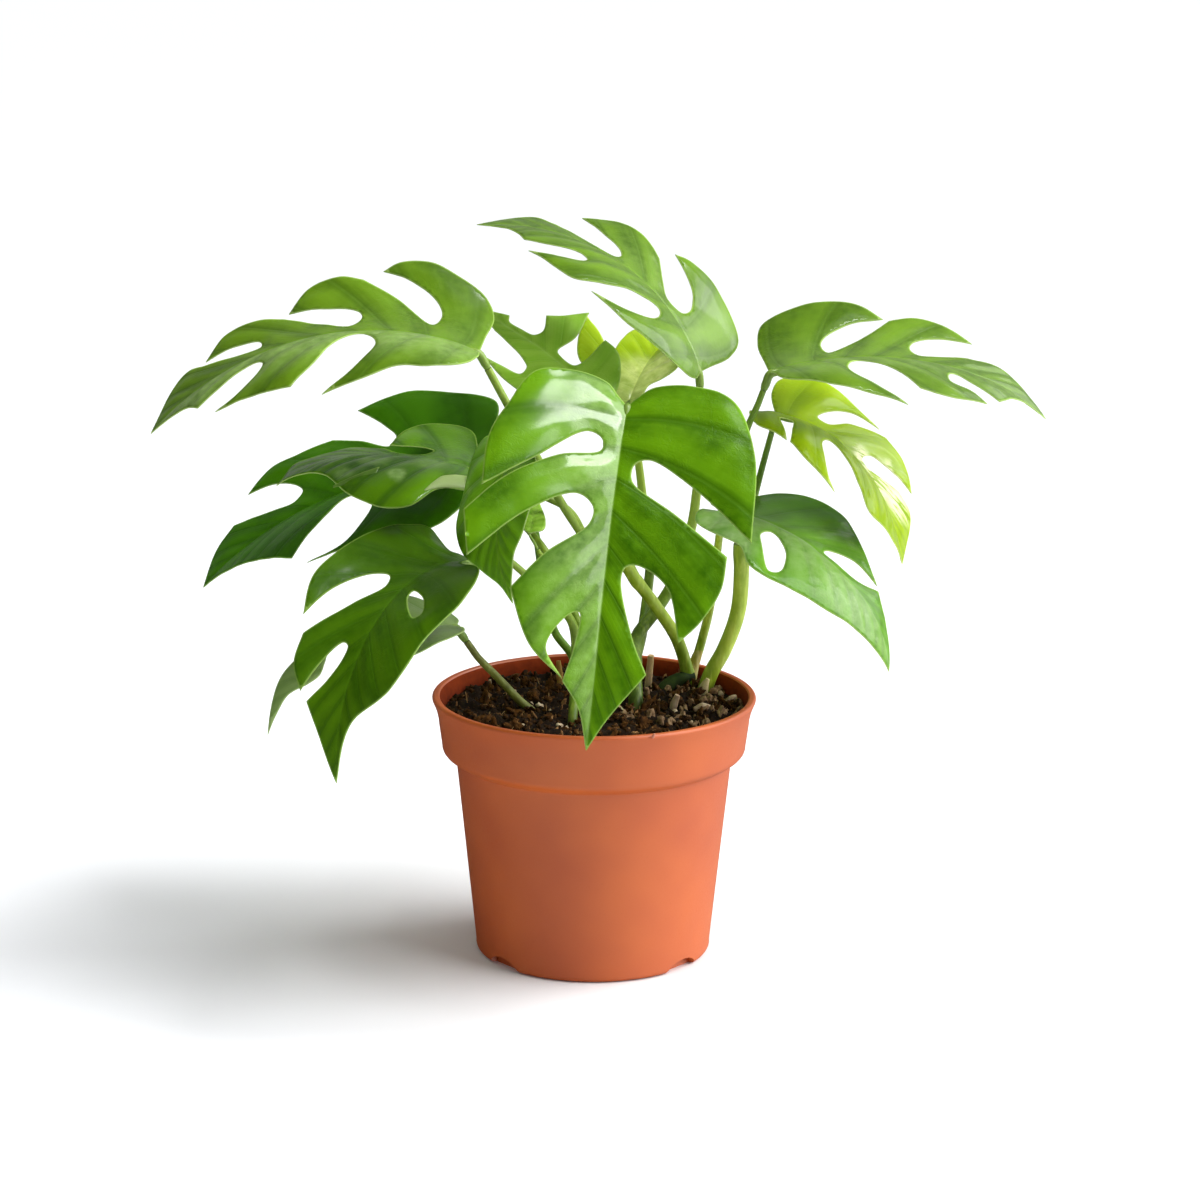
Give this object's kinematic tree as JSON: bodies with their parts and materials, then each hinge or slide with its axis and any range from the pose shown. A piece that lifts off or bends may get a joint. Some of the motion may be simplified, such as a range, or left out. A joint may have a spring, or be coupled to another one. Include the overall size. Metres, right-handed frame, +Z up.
{
  "type": "mini monstera in a nursery pot",
  "caption": "Young Rhaphidophora tetrasperma with deeply slit, drooping leaves on slim stalks, growing from dark compost in a round terracotta-coloured plastic pot with a stepped rim",
  "frame": {"origin": "the middle of the pot's underside, on the surface it stands on", "axes": "+Z up; +X to the plant's right as seen from its front, along its widest spread; +Y to its back"},
  "size_m": [0.3274, 0.2145, 0.2642],
  "materials": {
    "pot_plastic": "satin injection-moulded polypropylene, terracotta colour",
    "compost": "moist peat and coir with pale grit",
    "stem_green": "smooth waxy stalk",
    "stem_dark": "smooth waxy stalk, shaded",
    "stem_dry": "dry papery stalk",
    "leaf_green": "waxy leaf, half gloss",
    "leaf_dark": "waxy leaf, half gloss, older and darker",
    "leaf_lime": "young leaf, lime green, half gloss"
  },
  "bodies": {
    "root": {"pot": "pot_plastic", "soil": "compost", "stem_front": "stem_green", "stem_right": "stem_green", "stem_middle": "stem_green", "stem_left": "stem_green", "stem_inner": "stem_dark", "stem_low_left": "stem_green", "stem_dry_stub": "stem_dry", "leaf_upper_left": "leaf_green", "leaf_top": "leaf_green", "leaf_upper_right": "leaf_green", "leaf_right_young": "leaf_lime", "leaf_lower_right": "leaf_green", "leaf_front": "leaf_green", "leaf_left_back": "leaf_dark", "leaf_left_front": "leaf_green", "leaf_low_left": "leaf_dark", "leaf_low_left_back": "leaf_green", "leaf_top_back": "leaf_green", "leaf_back_young": "leaf_lime", "leaf_hanging": "leaf_green", "leaf_small": "leaf_green"}
  },
  "joints": []
}
